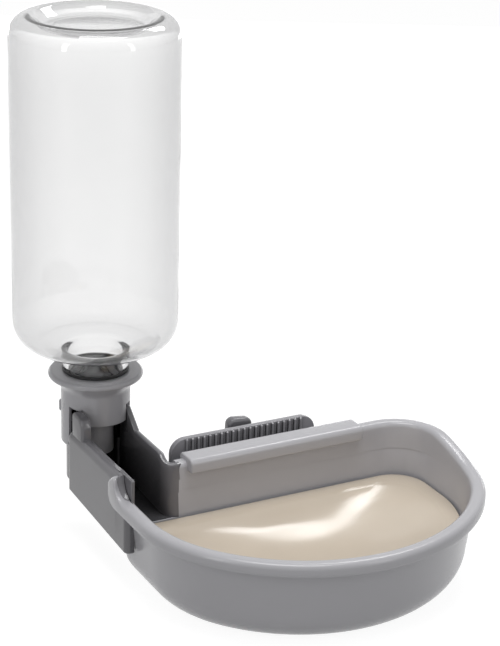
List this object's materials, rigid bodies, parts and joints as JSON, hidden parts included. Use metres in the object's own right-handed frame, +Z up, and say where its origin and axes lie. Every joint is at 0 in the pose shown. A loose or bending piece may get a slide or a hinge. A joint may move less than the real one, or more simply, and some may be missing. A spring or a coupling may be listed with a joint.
{
  "type": "small animal water bottle",
  "caption": "D-shaped drinking bowl with a side trough, an upturned clear bottle screwed into a lift-off collar, and a wing nut clamp that grips cage wires.",
  "frame": {"origin": "under the middle of the whole object, on the surface that it stands on", "axes": "+Z up, +Y towards the flat back of the bowl and the cage, +X to the right when seen from the round front; the bottle stands at the back left"},
  "size_m": [0.1772, 0.191, 0.2335],
  "materials": {
    "grey_plastic": "smooth, glossy",
    "dish_plastic": "smooth, glossy",
    "clear_plastic": "clear, glossy",
    "black_rubber": "matt",
    "zinc_steel": "zinc plated",
    "nut_plastic": "smooth, satin"
  },
  "bodies": {
    "bowl_body": {"bowl": "grey_plastic", "dish": "dish_plastic"},
    "collar_body": {"collar": "grey_plastic"},
    "seal_body": {"neck_seal": "black_rubber"},
    "bottle_body": {"bottle": "clear_plastic"},
    "bracket_body": {"bracket": "grey_plastic", "clamp_screw": "zinc_steel"},
    "jaw_body": {"jaw": "grey_plastic", "washer": "zinc_steel"},
    "nut_body": {"wing_nut": "nut_plastic"}
  },
  "joints": [
    {"name": "collar_lift", "type": "slide", "parent": "bowl_body", "child": "collar_body", "axis": [0, 0, 1], "range_m": [0, 0.045]},
    {"name": "bottle_rise", "type": "slide", "parent": "collar_body", "child": "seal_body", "axis": [0, 0, 1], "range_m": [0, 0.009]},
    {"name": "bottle_turn", "type": "hinge", "parent": "seal_body", "child": "bottle_body", "pos_m": [-0.0523, 0.05925, 0.075], "axis": [0, 0, 1], "range_deg": [0, 1081]},
    {"name": "bracket_slide", "type": "slide", "parent": "bowl_body", "child": "bracket_body", "axis": [0, 0, -1], "range_m": [0, 0.008]},
    {"name": "jaw_slide", "type": "slide", "parent": "bracket_body", "child": "jaw_body", "axis": [0, 1, 0], "range_m": [-0.0045, 0.008]},
    {"name": "nut_turn", "type": "hinge", "parent": "jaw_body", "child": "nut_body", "pos_m": [0.0029, 0.03, 0.032], "axis": [0, 1, 0], "range_deg": [-1621, 2881]}
  ],
  "couplings": [
    {"joint": "bottle_turn", "follows": "bottle_rise", "rad_per_m": 2094.4},
    {"joint": "nut_turn", "follows": "jaw_slide", "rad_per_m": 6283.2}
  ]
}
